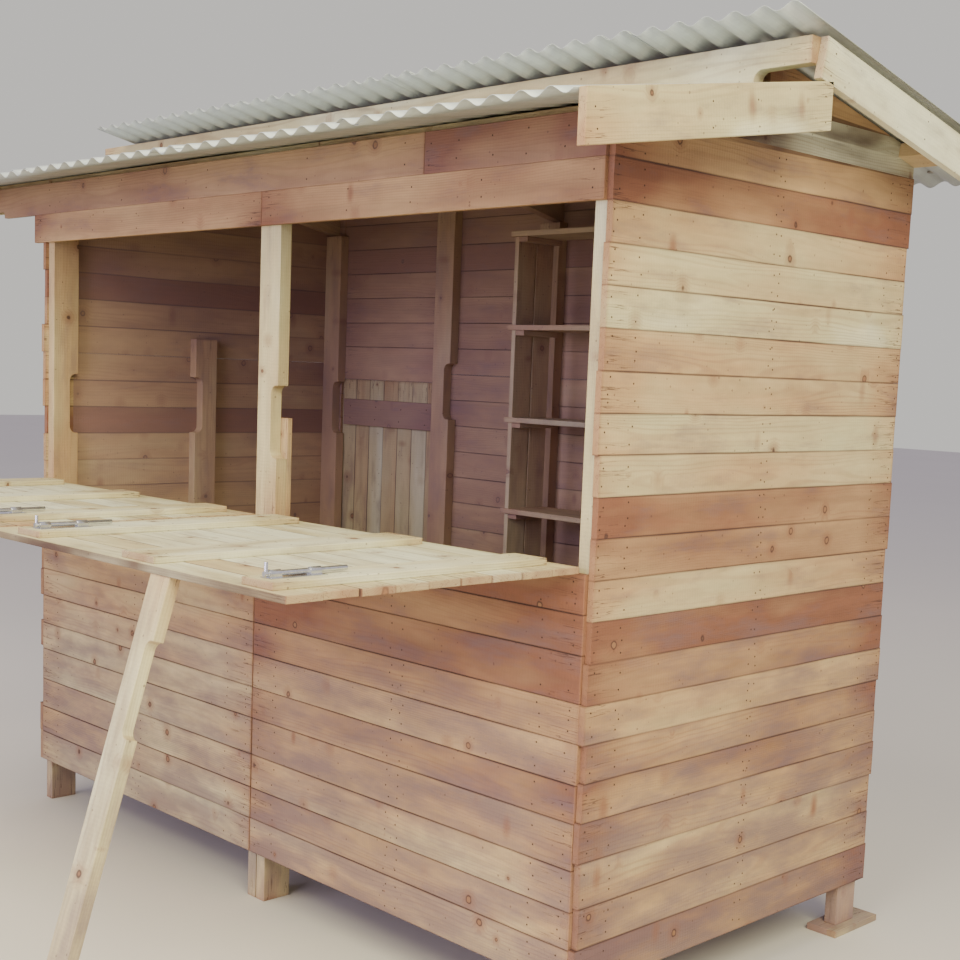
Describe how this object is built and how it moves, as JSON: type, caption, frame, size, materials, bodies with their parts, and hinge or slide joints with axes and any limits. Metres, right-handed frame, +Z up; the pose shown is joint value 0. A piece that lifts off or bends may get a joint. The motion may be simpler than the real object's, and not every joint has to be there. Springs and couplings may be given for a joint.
{
  "type": "market kiosk",
  "caption": "Timber kiosk of reclaimed boards with serving hatches whose flaps drop to counters on props, a back door, shelves and a split-level corrugated roof.",
  "frame": {"origin": "on the ground, in the middle of the footprint with roof and props counted in", "axes": "+X along the front to the right, +Y from the front into the kiosk, +Z up"},
  "size_m": [3.0074, 2.5609, 2.288],
  "materials": {
    "pallet_pine": "rough sawn, unpainted",
    "weathered_board": "greyed, rough sawn",
    "galvanised_sheet": "galvanised",
    "hinge_steel": "zinc plated",
    "bolt_steel": "bright plated"
  },
  "bodies": {
    "root": {"back_left_post": "pallet_pine", "back_purlin": "pallet_pine", "back_right_post": "pallet_pine", "back_stud": "pallet_pine", "back_wall_left": "pallet_pine", "back_wall_over_door": "pallet_pine", "back_wall_right": "pallet_pine", "counter_rails": "pallet_pine", "door_hinges": "hinge_steel", "door_post": "pallet_pine", "door_sill": "pallet_pine", "fascia": "pallet_pine", "flap_hinges": "hinge_steel", "floor_deck": "pallet_pine", "floor_joists": "pallet_pine", "foot_pad": "pallet_pine", "front_panel_left": "pallet_pine", "front_panel_right": "pallet_pine", "front_posts": "pallet_pine", "front_purlins": "pallet_pine", "front_rafters": "pallet_pine", "front_sheets": "galvanised_sheet", "front_studs": "pallet_pine", "front_verges": "pallet_pine", "header": "pallet_pine", "left_prop": "pallet_pine", "left_wall": "pallet_pine", "middle_post": "pallet_pine", "middle_post_backer": "pallet_pine", "middle_rails": "pallet_pine", "rear_rafters": "pallet_pine", "rear_sheets": "galvanised_sheet", "rear_verges": "pallet_pine", "right_prop": "pallet_pine", "right_wall": "pallet_pine", "shelf_cleats": "pallet_pine", "shelf_uprights": "pallet_pine", "shelves": "pallet_pine", "side_studs": "pallet_pine", "upper_purlin": "pallet_pine"},
    "right_flap": {"right_flap": "pallet_pine", "right_flap_battens": "pallet_pine", "right_flap_leaves": "hinge_steel", "right_bolt_guides": "bolt_steel"},
    "left_flap": {"left_flap": "pallet_pine", "left_flap_battens": "pallet_pine", "left_flap_leaves": "hinge_steel", "left_bolt_guides": "bolt_steel"},
    "right_inner_bolt": {"right_inner_bolt_rod": "bolt_steel"},
    "right_outer_bolt": {"right_outer_bolt_rod": "bolt_steel"},
    "left_outer_bolt": {"left_outer_bolt_rod": "bolt_steel"},
    "left_inner_bolt": {"left_inner_bolt_rod": "bolt_steel"},
    "door": {"door_leaf": "weathered_board", "door_ledges": "weathered_board", "door_hinge_leaves": "hinge_steel"}
  },
  "joints": [
    {"name": "right_flap_hinge", "type": "hinge", "parent": "root", "child": "right_flap", "pos_m": [0.71775, -0.19243, 1.058], "axis": [-1, 0, 0], "range_deg": [0, 90]},
    {"name": "left_flap_hinge", "type": "hinge", "parent": "root", "child": "left_flap", "pos_m": [-0.46625, -0.19243, 1.058], "axis": [-1, 0, 0], "range_deg": [0, 90]},
    {"name": "door_hinge", "type": "hinge", "parent": "root", "child": "door", "pos_m": [-0.43775, 1.02187, 0.8375], "axis": [0, 0, -1], "range_deg": [0, 170]},
    {"name": "right_inner_bolt_slide", "type": "slide", "parent": "right_flap", "child": "right_inner_bolt", "axis": [0, -1, 0], "range_m": [0, 0.055]},
    {"name": "right_outer_bolt_slide", "type": "slide", "parent": "right_flap", "child": "right_outer_bolt", "axis": [0, -1, 0], "range_m": [0, 0.055]},
    {"name": "left_outer_bolt_slide", "type": "slide", "parent": "left_flap", "child": "left_outer_bolt", "axis": [0, -1, 0], "range_m": [0, 0.055]},
    {"name": "left_inner_bolt_slide", "type": "slide", "parent": "left_flap", "child": "left_inner_bolt", "axis": [0, -1, 0], "range_m": [0, 0.055]}
  ]
}
